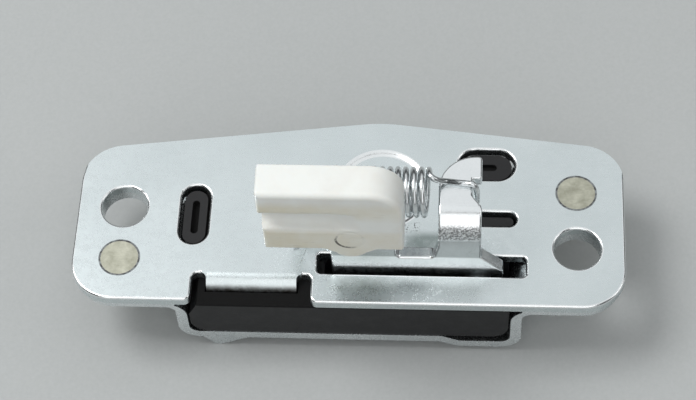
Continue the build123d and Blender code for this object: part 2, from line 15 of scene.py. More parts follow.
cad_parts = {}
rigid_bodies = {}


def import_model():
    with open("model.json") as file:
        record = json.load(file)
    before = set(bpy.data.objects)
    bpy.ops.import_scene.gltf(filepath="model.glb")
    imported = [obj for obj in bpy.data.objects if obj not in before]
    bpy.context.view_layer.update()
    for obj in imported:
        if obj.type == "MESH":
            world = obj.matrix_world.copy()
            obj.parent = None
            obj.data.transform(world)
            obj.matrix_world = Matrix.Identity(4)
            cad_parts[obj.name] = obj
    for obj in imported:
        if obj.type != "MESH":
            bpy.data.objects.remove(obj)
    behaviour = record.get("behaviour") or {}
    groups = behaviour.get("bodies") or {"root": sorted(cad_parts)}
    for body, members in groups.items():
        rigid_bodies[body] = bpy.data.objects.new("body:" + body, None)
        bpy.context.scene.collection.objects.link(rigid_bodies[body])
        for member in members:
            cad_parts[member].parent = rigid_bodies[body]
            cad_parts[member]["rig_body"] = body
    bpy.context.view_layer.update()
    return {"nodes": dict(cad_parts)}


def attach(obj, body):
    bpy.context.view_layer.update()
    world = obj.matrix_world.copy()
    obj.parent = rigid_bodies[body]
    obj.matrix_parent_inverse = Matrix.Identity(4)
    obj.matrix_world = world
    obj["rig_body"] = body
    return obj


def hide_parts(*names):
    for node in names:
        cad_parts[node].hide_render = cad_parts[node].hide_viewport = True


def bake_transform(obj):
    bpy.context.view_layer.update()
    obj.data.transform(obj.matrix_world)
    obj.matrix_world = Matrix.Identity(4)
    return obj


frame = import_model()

MM = 0.001
nodes = frame["nodes"]

# %% [markdown]
# The camera stands where the photographer stood: above and in front of the plate, a little
# to the right, with a long lens. Three unit vectors turn it, and they come from matching
# points of the model to the same points of the photograph.

# %% Place the camera
lens_mm = 108.14
camera_place = (0.02226, -0.19971, 0.33146)
camera_data = bpy.data.cameras.new("camera")
camera = bpy.data.objects.new("camera", camera_data)
bpy.context.scene.collection.objects.link(camera)
camera_data.sensor_width = 36.0
camera_data.lens = lens_mm
camera_data.clip_start = 0.01
camera_data.clip_end = 20.0
right = Vector((0.99820, 0.04550, -0.04000)).normalized()
forward = Vector((-0.05790, 0.52630, -0.84830)).normalized()
up = right.cross(forward).normalized()
turn = Matrix((right, up, -forward)).transposed().to_4x4()
camera.matrix_world = Matrix.Translation(camera_place) @ turn
bpy.context.scene.camera = camera
print("camera looks down at", round(np.degrees(np.arcsin(-forward.z)), 1), "degrees")

# %% [markdown]
# A few small helpers serve every finish: they add a shader node and set its sockets, or make
# a ramp, a noise, a mix or a sum. With them a finish reads as a list of what it mixes. Every
# pattern reads Object coordinates, which are metres here, so a scale of 1000 gives spots of
# about a millimetre.

# %% Helpers for finishes
def node(tree, kind, **sockets):
    """Adds a shader node. Sockets take a value, or a (node, output name) pair as a link.

    A socket is named by its own name with _ for a space, or as i0, i1 by its number.
    """
    n = tree.nodes.new(kind)
    for key, value in sockets.items():
        name = key.replace("_", " ")
        numbered = key[0] == "i" and key[1:].isdigit()
        socket = n.inputs[int(key[1:])] if numbered else n.inputs[name]
        if isinstance(value, tuple) and len(value) == 2 and hasattr(value[0], "outputs"):
            tree.links.new(value[0].outputs[value[1]], socket)
        else:
            socket.default_value = value
    return n


def ramp(tree, source, low, high, to_low=0.0, to_high=1.0):
    """Straight line through (low, to_low) and (high, to_high), held level outside them."""
    n = node(tree, "ShaderNodeMapRange", Value=source)
    n.inputs["From Min"].default_value = low
    n.inputs["From Max"].default_value = high
    n.inputs["To Min"].default_value = to_low
    n.inputs["To Max"].default_value = to_high
    return (n, "Result")


def noise(tree, place, scale, detail=3.0, rough=0.55):
    """Soft random spots. The scale counts them per metre."""
    n = node(tree, "ShaderNodeTexNoise", Vector=place, Scale=scale, Detail=detail, Roughness=rough)
    return (n, "Fac")


def mix(tree, amount, a, b):
    """Colour a where amount is 0, and b where it is 1."""
    n = tree.nodes.new("ShaderNodeMix")
    n.data_type = "RGBA"
    for index, value in ((0, amount), (6, a), (7, b)):
        if isinstance(value, tuple) and hasattr(value[0], "outputs"):
            tree.links.new(value[0].outputs[value[1]], n.inputs[index])
        else:
            n.inputs[index].default_value = value
    return (n, 2)


def maths(tree, kind, a, b=0.0):
    """One sum on two values, such as MULTIPLY or MAXIMUM."""
    n = node(tree, "ShaderNodeMath", i0=a, i1=b)
    n.operation = kind
    return (n, "Value")


def times(tree, first, *others):
    """Product of values, such as masks that all have to be 1."""
    for value in others:
        first = maths(tree, "MULTIPLY", first, value)
    return first


def share(tree, a, amount, b):
    """amount of value a, and the rest of value b."""
    return maths(tree, "ADD", times(tree, a, amount), times(tree, b, 1.0 - amount))


def stretched(tree, place, scale, degrees=0.0):
    """Coordinates scaled on each axis, then turned round Z."""
    n = node(tree, "ShaderNodeMapping", Vector=place)
    n.inputs["Rotation"].default_value = (0.0, 0.0, radians(degrees))
    n.inputs["Scale"].default_value = scale
    return (n, "Vector")


def start(name, metallic, ior=1.5):
    """An empty finish with its shader and Object coordinates."""
    m = bpy.data.materials.new(name)
    m.use_nodes = True
    tree = m.node_tree
    shader = tree.nodes["Principled BSDF"]
    shader.inputs["Metallic"].default_value = metallic
    shader.inputs["IOR"].default_value = ior
    place = (tree.nodes.new("ShaderNodeTexCoord"), "Object")
    return m, tree, shader, place


def join(tree, shader, colour, roughness, height, strength, depth):
    """Links a finish's colour, roughness and bump to its shader. depth is in metres."""
    tree.links.new(colour[0].outputs[colour[1]], shader.inputs["Base Color"])
    tree.links.new(roughness[0].outputs[roughness[1]], shader.inputs["Roughness"])
    bump = node(tree, "ShaderNodeBump", Height=height, Strength=strength, Distance=depth)
    tree.links.new(bump.outputs["Normal"], shader.inputs["Normal"])


# %% [markdown]
# Bright zinc plating is a thin layer of metal with a slight blue cast. Seen close it is
# made of fine spangles, and over the sheet it is a little uneven where it was handled. So
# three sizes of noise mix two greys, and the finest also moves roughness and bump. The rim
# zinc is lighter and smoother, a painted highlight for the light that rolled edges catch,
# and what lies inside is darker and rougher.

# %% Zinc finishes
def zinc_start(name, light, dark, rough_low, rough_high, grain=2600.0):
    """Plated sheet: light and dark are its two greys, rough_low to rough_high its gloss."""
    m, tree, shader, place = start(name, 1.0)
    fine = noise(tree, place, grain, 2.0, 0.6)
    spots = noise(tree, place, 650.0, 4.0, 0.6)
    clouds = noise(tree, place, 70.0, 3.0, 0.5)
    small = share(tree, fine, 0.3, spots)
    amount = share(tree, small, 0.5, clouds)
    colour = mix(tree, ramp(tree, amount, 0.38, 0.62), (*dark, 1.0), (*light, 1.0))
    both = maths(tree, "ADD", spots, times(tree, fine, 0.5))
    rough = ramp(tree, both, 0.5, 1.0, rough_high, rough_low)
    return m, tree, shader, place, fine, colour, rough


def zinc(name, *values, bump=0.25):
    """Plain zinc, without marks of its own. The values are those of zinc_start."""
    m, tree, shader, place, fine, colour, rough = zinc_start(name, *values)
    join(tree, shader, colour, rough, fine, bump, 0.03 * MM)
    return m


# Painted highlight: the rim zinc is lighter and glossier than the plate's own zinc.
zinc_rim_highlight = zinc("zinc_rim_highlight", (0.95, 0.97, 0.97), (0.88, 0.91, 0.92), 0.16, 0.24, bump=0.10)
zinc_case = zinc("zinc_case", (0.88, 0.91, 0.92), (0.72, 0.76, 0.77), 0.20, 0.32)
zinc_hidden = zinc("zinc_hidden", (0.72, 0.75, 0.76), (0.56, 0.59, 0.60), 0.32, 0.46)
print("plain zinc finishes:", zinc_rim_highlight.name, zinc_case.name, zinc_hidden.name)

# %% [markdown]
# A mark sits where something pressed or rubbed, so it is drawn by place: a mask is 1 inside
# a range of the piece's own coordinates and 0 outside, with a soft step between. A ring is
# the distance from an axis, held between two radii.

# %% Masks by place
def ring_mark(tree, place, centre, keep, inner, outer):
    """1 between two radii round a line through centre, all in millimetres, and 0 elsewhere.

    keep is 1 for the two axes that the radius is measured in, and 0 along the line.
    """
    flat = node(tree, "ShaderNodeVectorMath", i0=place, i1=keep)
    flat.operation = "MULTIPLY"
    middle = tuple(v * MM for v in centre)
    away = node(tree, "ShaderNodeVectorMath", i0=(flat, "Vector"), i1=middle)
    away.operation = "DISTANCE"
    distance = (away, "Value")
    rise = ramp(tree, distance, (inner - 0.08) * MM, inner * MM)
    fall = ramp(tree, distance, outer * MM, (outer + 0.12) * MM, 1.0, 0.0)
    return times(tree, rise, fall)


def inside(tree, value, low, high, soft):
    """1 where a coordinate lies between two values in millimetres, with soft ends."""
    rise = ramp(tree, value, (low - soft) * MM, low * MM)
    fall = ramp(tree, value, high * MM, (high + soft) * MM, 1.0, 0.0)
    return times(tree, rise, fall)


# %% [markdown]
# The plate has marks of its own. Pressing left a thin dark ring of oil round both rivets,
# and rubbing left faint streaks. The strip in front of the window is darker, less so to the
# right. The plate under the spring gets a painted shade for the coil's and arm's shadow and
# dark reflection, and a little grit lies there. The lower half of the folded tongue is worn
# dark and rough.

# %% Zinc of the plate
rivet_places = [(-42.1, -7.4), (42.1, 8.3)]
zinc_plate, tree, shader, place, fine, colour, rough = zinc_start(
    "zinc_plate", (0.73, 0.79, 0.80), (0.66, 0.72, 0.73), 0.24, 0.33)
streaks = noise(tree, stretched(tree, place, (1.0, 9.0, 1.0), 28.0), 260.0, 4.0, 0.6)
streaks = ramp(tree, streaks, 0.55, 0.75, 0.0, 0.35)
colour = mix(tree, streaks, colour, (0.61, 0.66, 0.67, 1.0))
oil = ramp(tree, noise(tree, place, 900.0, 3.0, 0.6), 0.35, 0.6, 0.6, 1.0)
for x, y in rivet_places:
    ring = ring_mark(tree, place, (x, y, 0.0), (1.0, 1.0, 0.0), 3.42, 3.80)
    colour = mix(tree, times(tree, ring, oil), colour, (0.10, 0.10, 0.10, 1.0))
xyz = node(tree, "ShaderNodeSeparateXYZ", Vector=place)
strip = times(
    tree,
    inside(tree, (xyz, "Y"), -13.0, -11.2, 1.4),
    inside(tree, (xyz, "X"), -1.0, 24.0, 4.0),
    ramp(tree, (xyz, "X"), 3.5 * MM, 10.0 * MM, 1.0, 0.25),
)
# Painted shade: the plate under the coil is darkened for the coil's and arm's shadow and dark
# reflection.
under_coil_shade = times(
    tree,
    inside(tree, (xyz, "Y"), -4.2, -1.8, 1.6),
    inside(tree, (xyz, "X"), 11.0, 17.6, 0.8),
)
patch_amount = ramp(tree, noise(tree, place, 210.0, 4.0, 0.6), 0.34, 0.62, 0.35, 0.85)
colour = mix(tree, times(tree, strip, patch_amount), colour, (0.44, 0.49, 0.47, 1.0))
colour = mix(tree, times(tree, under_coil_shade, patch_amount), colour, (0.26, 0.31, 0.30, 1.0))
tongue = times(
    tree,
    inside(tree, (xyz, "X"), -27.0, -8.0, 0.3),
    ramp(tree, (xyz, "Z"), -0.8 * MM, -1.9 * MM),
)
mottle = ramp(tree, noise(tree, place, 700.0, 4.0, 0.65), 0.36, 0.60, 0.45, 1.0)
colour = mix(tree, times(tree, tongue, mottle), colour, (0.17, 0.16, 0.15, 1.0))
rough = maths(tree, "ADD", rough, times(tree, tongue, 0.16))
grit_spot = times(
    tree,
    inside(tree, (xyz, "Y"), -0.6, 1.0, 0.5),
    inside(tree, (xyz, "X"), 10.8, 12.8, 0.8),
)
grit = ramp(tree, noise(tree, place, 2900.0, 2.0, 0.6), 0.57, 0.62)
colour = mix(tree, times(tree, grit_spot, grit), colour, (0.09, 0.10, 0.10, 1.0))
join(tree, shader, colour, rough, fine, 0.10, 0.03 * MM)
print("shader nodes of the plate:", len(tree.nodes))

# %% [markdown]
# The press stretched the lever's bend, which left it pebbled like orange peel. So its bump
# is strongest on the lower half of the bend, and its pits there get a painted dark reflection
# of the shaded floor that this part mirrors. The arm's narrow front face gets a painted dark
# reflection of the plate below it, and fine lines run back over the arm where the tool drew it.

# %% Zinc of the lever
zinc_lever, tree, shader, place, fine, colour, rough = zinc_start(
    "zinc_lever", (0.94, 0.96, 0.97), (0.87, 0.90, 0.91), 0.18, 0.28, grain=2200.0)
xyz = node(tree, "ShaderNodeSeparateXYZ", Vector=place)
low_bend = times(
    tree,
    ramp(tree, (xyz, "Y"), -7.9 * MM, -8.5 * MM),
    ramp(tree, (xyz, "Z"), 10.6 * MM, 11.4 * MM),
)
peel = noise(tree, place, 3300.0, 2.0, 0.6)
# Painted reflection: the pits on the lower bend are darkened for the shaded floor that they
# mirror.
dark_reflection_pits = times(tree, ramp(tree, peel, 0.44, 0.54), low_bend, 0.85)
colour = mix(tree, dark_reflection_pits, colour, (0.16, 0.16, 0.16, 1.0))
pull = noise(tree, stretched(tree, place, (1.0, 0.08, 0.08)), 2400.0, 2.0, 0.5)
pulled = times(tree, inside(tree, (xyz, "Y"), -6.6, -4.0, 0.8), pull)
# Painted reflection: the arm's front face is darkened for the plate below it that it mirrors.
front_dark_reflection = times(
    tree,
    ramp(tree, (xyz, "Y"), -8.7 * MM, -8.9 * MM),
    inside(tree, (xyz, "Z"), 5.2, 10.6, 0.5),
    0.85,
)
colour = mix(tree, front_dark_reflection, colour, (0.36, 0.38, 0.38, 1.0))
height = maths(tree, "ADD", times(tree, fine, 0.05), times(tree, peel, low_bend))
height = maths(tree, "ADD", height, times(tree, pulled, 0.12))
join(tree, shader, colour, rough, height, 0.9, 0.16 * MM)
print("shader nodes of the lever:", len(tree.nodes))

# %% [markdown]
# The rivets' ends were sheared and pressed flush without plating, so they are duller and
# warmer than the sheet, with blotches of several millimetres and fine scratches.

# %% Bare steel of the rivets
bare_steel, tree, shader, place = start("bare_steel", 0.75)
blotch = noise(tree, place, 420.0, 5.0, 0.65)
scratch = noise(tree, stretched(tree, place, (1.0, 7.0, 1.0), 34.0), 900.0, 3.0, 0.6)
tone = share(tree, blotch, 0.7, scratch)
colour = mix(tree, ramp(tree, tone, 0.38, 0.62), (0.34, 0.34, 0.27, 1.0), (0.54, 0.54, 0.45, 1.0))
join(tree, shader, colour, ramp(tree, scratch, 0.3, 0.7, 0.42, 0.62), tone, 0.5, 0.05 * MM)
print("shader nodes of the rivets:", len(tree.nodes))

# %% [markdown]
# Turned steel, such as the stud and the lever's pin, shows the tool's fine rings round its
# axis. A Wave texture in bands gives them. The claw is hardened and a shade darker.

# %% Turned and hardened steel
def turned(name, light, dark, rough):
    """Steel with fine tool rings along Z."""
    m, tree, shader, place = start(name, 1.0)
    rings = node(tree, "ShaderNodeTexWave", Vector=place, Scale=900.0, Distortion=1.5, Detail=2.0)
    rings.bands_direction = "Z"
    spots = noise(tree, place, 800.0, 3.0, 0.6)
    tone = share(tree, (rings, "Fac"), 0.4, spots)
    colour = mix(tree, ramp(tree, tone, 0.25, 0.75), (*dark, 1.0), (*light, 1.0))
    gloss = ramp(tree, spots, 0.3, 0.7, rough, rough + 0.15)
    join(tree, shader, colour, gloss, (rings, "Fac"), 0.15, 0.03 * MM)
    return m


pin_steel = turned("pin_steel", (0.72, 0.74, 0.76), (0.52, 0.54, 0.56), 0.28)
claw_steel = turned("claw_steel", (0.52, 0.53, 0.54), (0.34, 0.35, 0.36), 0.36)

# %% [markdown]
# Spring wire is drawn through a die, which leaves it smooth, with faint lines along it. The
# lines follow the wire, so they read the wire's own UV map: V runs round the wire.

# %% Spring wire finish
spring_wire, tree, shader, place = start("spring_wire", 1.0)
wire_uv = node(tree, "ShaderNodeUVMap")
wire_uv.uv_map = "wire"
lines = noise(tree, stretched(tree, (wire_uv, "UV"), (6.0, 22.0, 1.0)), 1.0, 3.0, 0.6)
spots = noise(tree, place, 1500.0, 2.0, 0.5)
tone = share(tree, lines, 0.6, spots)
colour = mix(tree, ramp(tree, tone, 0.35, 0.65), (0.60, 0.63, 0.64, 1.0), (0.84, 0.87, 0.88, 1.0))
join(tree, shader, colour, ramp(tree, tone, 0.3, 0.7, 0.30, 0.16), lines, 0.1, 0.03 * MM)
print("shader nodes of the wire:", len(tree.nodes))

# %% [markdown]
# The liner is a black nylon moulding. It isn't quite black: dust and rubbing leave paler
# flecks, and the mould's spark-eroded skin is slightly rough. The line just under the plate
# is painted black and matt, a painted shade where the plate's edge overhangs it. Rubber is
# the same idea, but rougher.

# %% Black plastic and rubber
def moulded_black(name, dark, pale, rough, grain):
    """A dark moulding with pale flecks where the noise is high."""
    m, tree, shader, place = start(name, 0.0, 1.48)
    shader.inputs["Specular IOR Level"].default_value = 0.35
    skin = noise(tree, place, grain, 2.0, 0.5)
    dust = noise(tree, place, 380.0, 5.0, 0.7)
    flecks = ramp(tree, dust, 0.60, 0.80, 0.0, 0.6)
    colour = mix(tree, flecks, (*dark, 1.0), (*pale, 1.0))
    xyz = node(tree, "ShaderNodeSeparateXYZ", Vector=place)
    # Painted shade: a black, matt band just under the plate, where its edge shades the moulding.
    painted_gap_shade = times(
        tree,
        ramp(tree, (xyz, "Z"), -1.3 * MM, -1.5 * MM),
        ramp(tree, (xyz, "Z"), -2.7 * MM, -2.5 * MM),
    )
    colour = mix(tree, painted_gap_shade, colour, (0.004, 0.004, 0.004, 1.0))
    gloss = maths(tree, "MAXIMUM", ramp(tree, dust, 0.3, 0.7, rough - 0.06, rough + 0.10), painted_gap_shade)
    join(tree, shader, colour, gloss, skin, 0.35, 0.04 * MM)
    return m


black_plastic = moulded_black(
    "black_plastic", (0.012, 0.012, 0.013), (0.045, 0.045, 0.046), 0.42, 2800.0)
jacket_plastic = moulded_black(
    "jacket_plastic", (0.024, 0.024, 0.025), (0.060, 0.060, 0.060), 0.46, 2400.0)
black_rubber = moulded_black(
    "black_rubber", (0.014, 0.014, 0.014), (0.040, 0.040, 0.040), 0.66, 1800.0)
print("black finishes:", black_plastic.name, jacket_plastic.name, black_rubber.name)

# %% [markdown]
# The clip is an off-white acetal moulding. Light goes a little way into it, so it gets some
# subsurface. Handling has left warm bands above and below the rod's seat, with smears of
# dirt, and a thin dark arc runs round the peg over its groove, on its lower left side only.

# %% Off-white plastic
eye_x = 1.8
eye_z = 21.5


def clip_marks(tree, place, colour):
    """The colour with the clip's warm bands, smears and the dark arc over its peg."""
    xyz = node(tree, "ShaderNodeSeparateXYZ", Vector=place)
    front = ramp(tree, (xyz, "Y"), -15.0 * MM, -15.6 * MM)
    upper = inside(tree, (xyz, "Z"), 29.4, 31.4, 2.2)
    lower = inside(tree, (xyz, "Z"), 15.0, 23.2, 1.6)
    leftward = ramp(tree, (xyz, "X"), 8.0 * MM, -11.0 * MM, 0.45, 1.0)
    bands = times(tree, maths(tree, "MAXIMUM", upper, lower), leftward)
    patchy = ramp(tree, noise(tree, place, 260.0, 4.0, 0.6), 0.30, 0.62, 0.65, 1.0)
    warm = times(tree, bands, front, patchy, 0.85)
    colour = mix(tree, warm, colour, (0.74, 0.69, 0.53, 1.0))
    smear = noise(tree, stretched(tree, place, (0.35, 1.0, 1.4)), 1000.0, 5.0, 0.7)
    smear = times(tree, ramp(tree, smear, 0.60, 0.74, 0.0, 0.45), bands)
    colour = mix(tree, smear, colour, (0.30, 0.27, 0.22, 1.0))
    ring = ring_mark(tree, place, (eye_x, 0.0, eye_z), (1.0, 0.0, 1.0), 2.32, 2.62)
    low_left = (-0.75, 0.0, -0.66)
    side = node(tree, "ShaderNodeVectorMath", i0=place, i1=low_left)
    side.operation = "DOT_PRODUCT"
    middle = (low_left[0] * eye_x + low_left[2] * eye_z) * MM
    toward_lower_left = ramp(tree, (side, "Value"), middle + 0.6 * MM, middle + 1.9 * MM, 0.04, 1.0)
    broken = ramp(tree, noise(tree, place, 1300.0, 3.0, 0.6), 0.36, 0.50, 0.45, 1.0)
    arc = times(tree, ring, front, toward_lower_left, broken)
    return mix(tree, arc, colour, (0.08, 0.07, 0.06, 1.0))


def moulded_white(name, marks=None):
    """Off-white plastic. marks is a function that draws marks on its colour."""
    m, tree, shader, place = start(name, 0.0, 1.48)
    shader.inputs["Subsurface Weight"].default_value = 0.12
    shader.inputs["Subsurface Radius"].default_value = (0.0012, 0.0010, 0.0008)
    shader.inputs["Subsurface Scale"].default_value = 1.0
    skin = noise(tree, place, 2200.0, 2.0, 0.5)
    clouds = noise(tree, place, 130.0, 4.0, 0.6)
    cloudy = ramp(tree, clouds, 0.40, 0.66)
    colour = mix(tree, cloudy, (0.84, 0.86, 0.83, 1.0), (0.80, 0.80, 0.76, 1.0))
    if marks:
        colour = marks(tree, place, colour)
    join(tree, shader, colour, ramp(tree, clouds, 0.3, 0.7, 0.34, 0.46), skin, 0.12, 0.04 * MM)
    return m


white_plastic = moulded_white("white_plastic", clip_marks)
bush_plastic = moulded_white("bush_plastic")
print("finishes:", len(bpy.data.materials))

# %% [markdown]
# Sheet metal never ends in a perfectly sharp edge: the punch rolls it over, and that narrow
# roll catches the light as a white line round every hole. A copy of the CAD mesh is merged
# and its flat faces are joined. Edges that turn sharply get a bevel weight, and a Bevel
# modifier rounds those that have one, while the other sharp edges stay sharp. A Weighted
# Normal modifier after it lets the big flat faces decide how the light turns, so they stay
# evenly lit up to their rolled edge. A Bevel modifier can narrow all its edges where a short
# one leaves no room. We let it do so on the case only, because the plate and the lever have
# room enough on the edges chosen here.

# %% Round the edges of the sheet pieces
merge_mm = 0.002
speck_mm = 0.001
flat_degrees = 0.3
sharp_degrees = 32.0


def dressed(name, cad, width, material, segments=3, chosen=None, reshape=None, narrow=False):
    """Merged copy of a CAD node with a live bevel of that width in millimetres.

    chosen says for an edge's middle, in millimetres, whether the edge is rounded. reshape
    moves the copy's points first.
    """
    source = nodes[cad]
    mesh = source.data.copy()
    mesh.name = name
    if reshape:
        reshape(mesh)
    work = bmesh.new()
    work.from_mesh(mesh)
    bmesh.ops.remove_doubles(work, verts=work.verts, dist=merge_mm * MM)
    bmesh.ops.dissolve_degenerate(work, edges=work.edges, dist=speck_mm * MM)
    flat_angle = radians(flat_degrees)
    bmesh.ops.dissolve_limit(work, angle_limit=flat_angle, verts=work.verts, edges=work.edges)
    weight = work.edges.layers.float.new("bevel_weight_edge")
    for e in work.edges:
        middle = (e.verts[0].co + e.verts[1].co) / (2 * MM)
        sharp = len(e.link_faces) == 2 and e.calc_face_angle() > radians(sharp_degrees)
        rounded = sharp and (chosen is None or chosen(*middle))
        e[weight] = float(rounded)
        e.smooth = rounded or not sharp
    work.to_mesh(mesh)
    work.free()
    mesh.materials.clear()
    mesh.materials.append(material)
    piece = bpy.data.objects.new(name, mesh)
    bpy.context.scene.collection.objects.link(piece)
    mesh.shade_smooth()
    edge = piece.modifiers.new("edge", "BEVEL")
    edge.width = width * MM
    edge.segments = segments
    edge.limit_method = "WEIGHT"
    edge.use_clamp_overlap = narrow
    flat = piece.modifiers.new("flat", "WEIGHTED_NORMAL")
    flat.mode = "FACE_AREA"
    flat.weight = 100
    flat.keep_sharp = True
    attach(piece, source["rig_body"])
    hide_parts(cad)
    print(name, "faces before its bevel:", len(mesh.polygons))
    return piece, edge


# %% [markdown]
# The plate's round dish, where the claw's stud is riveted, looks shallower in the photograph
# than the room that the rivet needs, so its upper side is drawn up a little. The roll shows
# on the plate's upper edges only, and not where a pressed form or a rivet fills the edge.

# %% Sheet pieces with rolled edges
stud_x = 5.9
stud_y = 8.5
dish_r = 9.2
dish_depth = 1.0
dish_keep = 0.6
rivet_clear = 4.0
tongue_sides = (-26.0, -8.8)


def shallow_dish(mesh):
    """Draws the upper side of the plate's round dish up to dish_keep of its depth."""
    co = np.empty(len(mesh.vertices) * 3)
    mesh.vertices.foreach_get("co", co)
    co = co.reshape(-1, 3)
    near = np.hypot(co[:, 0] - stud_x * MM, co[:, 1] - stud_y * MM) < (dish_r - 0.3) * MM
    upper = (co[:, 2] > -(dish_depth + 0.05) * MM) & (co[:, 2] < -0.01 * MM)
    co[near & upper, 2] *= dish_keep
    mesh.vertices.foreach_set("co", co.ravel())


def plate_edge(x, y, z):
    """True for upper edges, but not in the dish or at the rivets, tongue and far edge."""
    in_dish = np.hypot(x - stud_x, y - stud_y) < dish_r
    at_rivet = min(np.hypot(x - rx, y - ry) for rx, ry in rivet_places) < rivet_clear
    at_tongue = y < -8.2 and min(abs(x - side) for side in tongue_sides) < 0.5
    wide_slot = 19.0 < x < 32.0 and y < 17.9
    far_edge = y > 11.5 and not wide_slot
    return z > -0.02 and not (in_dish or at_rivet or at_tongue or far_edge)


plate, plate_roll = dressed(
    "plate_sheet", "mounting_plate", 0.45, zinc_plate, 4, plate_edge, shallow_dish)
case, _ = dressed("case_sheet", "case_shell", 0.40, zinc_case, narrow=True)
lever, _ = dressed("lever_sheet", "release_lever", 0.45, zinc_lever)

# %% [markdown]
# The plate's rolled edges and the slope of its dish get a lighter, glossier zinc than its
# flat, a painted highlight for the light they catch. The Bevel modifier can give its new
# faces a material of their own, and the slope's faces are found by their place and tilt.

# %% Painted highlight on the plate's rims
# Painted highlight: the bevel faces and the dish's slope take the lighter rim zinc.
plate.data.materials.append(zinc_rim_highlight)
plate_roll.material = 1
plate_faces = plate.data.polygons
centres = np.empty(len(plate_faces) * 3)
tilts = np.empty(len(plate_faces) * 3)
plate_faces.foreach_get("center", centres)
plate_faces.foreach_get("normal", tilts)
centres = centres.reshape(-1, 3) / MM
up_share = tilts.reshape(-1, 3)[:, 2]
slope = np.hypot(centres[:, 0] - stud_x, centres[:, 1] - stud_y) < dish_r
slope &= (up_share > 0.2) & (up_share < 0.995)
plate_faces.foreach_set("material_index", slope.astype(np.int32))
print("slope faces of the dish:", int(slope.sum()))

# %% [markdown]
# A spring is a round wire carried along a path. The path of the return spring is a helix
# along X with a bend at each end: one goes through the anchor behind the clip, the other
# over the arm and down through its notch. The helix is x = pitch * turns, and y and z go
# round a circle. A bend is a cubic curve that leaves and arrives in given directions.

# %% Wire along a path
def bend(p0, d0, p1, d1, count):
    """Cubic from p0 to p1, with directions d0 and d1 at its ends, as count inner points.

    The point at t is the sum of the four, each times its own cubic in t: those of p0 and d0
    fall to 0 at the end, and those of p1 and d1 grow from 0 at the start.
    """
    t = np.linspace(0.0, 1.0, count + 2)[1:-1, None]
    a = 2 * t**3 - 3 * t**2 + 1
    b = t**3 - 2 * t**2 + t
    c = 3 * t**2 - 2 * t**3
    d = t**3 - t**2
    return a * np.array(p0) + b * np.array(d0) + c * np.array(p1) + d * np.array(d1)


def grid_mesh(name, points, material, uv=None, close_ends=True):
    """Mesh from points[i, j]: j goes round and closes, i goes along. Ends get a flat cap."""
    rows, cols, _ = points.shape
    i, j = np.meshgrid(np.arange(rows - 1), np.arange(cols), indexing="ij")
    k = (j + 1) % cols
    here = i * cols
    ahead = here + cols
    quads = np.stack([here + j, here + k, ahead + k, ahead + j], -1).reshape(-1, 4)
    faces = quads.tolist()
    if close_ends:
        faces.append(list(range(cols))[::-1])
        faces.append([(rows - 1) * cols + c for c in range(cols)])
    mesh = bpy.data.meshes.new(name)
    mesh.from_pydata((points.reshape(-1, 3) * MM).tolist(), [], faces)
    if uv is not None:
        layer = mesh.uv_layers.new(name="wire")
        loops = np.empty(len(mesh.loops), int)
        mesh.loops.foreach_get("vertex_index", loops)
        layer.data.foreach_set("uv", uv.reshape(-1, 2)[loops].astype(np.float32).ravel())
    work = bmesh.new()
    work.from_mesh(mesh)
    bmesh.ops.recalc_face_normals(work, faces=work.faces)
    work.to_mesh(mesh)
    work.free()
    mesh.shade_smooth()
    mesh.materials.append(material)
    piece = bpy.data.objects.new(name, mesh)
    bpy.context.scene.collection.objects.link(piece)
    return piece


uv_per_mm = 0.1


def wire(name, path, radius, material, around=14):
    """Circle of that radius carried along the path, square to it, without twisting.

    A point is the path's own, plus radius times (side cos t + other sin t). Its U is the
    length along the wire, and its V is t as a share of a whole turn.
    """
    run = np.gradient(path, axis=0)
    run /= np.linalg.norm(run, axis=1)[:, None]
    side = np.empty_like(path)
    side[0] = np.cross(run[0], (0.31, 0.24, 0.92))
    side[0] /= np.linalg.norm(side[0])
    # The side vector of one point, with its part along the next run taken out, is the next one's.
    for s in range(1, len(path)):
        v = side[s - 1] - run[s] * np.dot(side[s - 1], run[s])
        side[s] = v / np.linalg.norm(v)
    other = np.cross(run, side)
    t = np.linspace(0.0, 2 * pi, around, endpoint=False)
    ring = np.cos(t)[None, :, None] * side[:, None, :]
    ring = ring + np.sin(t)[None, :, None] * other[:, None, :]
    points = path[:, None, :] + radius * ring
    length = np.concatenate([[0.0], np.cumsum(np.linalg.norm(np.diff(path, axis=0), axis=1))])
    uv = np.stack(np.broadcast_arrays(length[:, None] * uv_per_mm, (t / (2 * pi))[None, :]), -1)
    return grid_mesh(name, points, material, uv)


# %% [markdown]
# These numbers are the CAD model's own, in millimetres: the coil's radius, its pitch, its
# thirteen turns, and the places of the anchor and the notch. The right end rides on the
# lever and the left end stays with the plate.

# %% Return spring
wire_r = 0.55
coil_r = 4.05
coil_y = -1.5
coil_z = 15.05
coil_turns = 13
coil_pitch = 1.38
coil_right = 15.1
coil_left = coil_right - coil_turns * coil_pitch
coil_end = radians(68.0)
turns = np.linspace(0.0, coil_turns, coil_turns * 40 + 1)
angle = coil_end - 2 * pi * (coil_turns - turns)
helix = np.stack([
    coil_left + (coil_right - coil_left) * turns / coil_turns,
    coil_y + coil_r * np.cos(angle),
    coil_z + coil_r * np.sin(angle),
], 1)
leg_z = 16.9
leg_y = coil_y + 1.2
hook_x = 23.6
over_start = np.array([hook_x - 1.4, leg_y - 0.4, leg_z])
over_end = np.array([hook_x, leg_y - 1.6, 12.9])
arm_start = np.array([coil_right + 3.2, leg_y, leg_z])
leave = (2.0, -6.0 * sin(coil_end), 6.0 * cos(coil_end))
inner_end = np.array([-7.0, coil_y, coil_z])
tail_x = -10.77
arrive = (0.6, -6.5 * sin(coil_end), 6.5 * cos(coil_end))
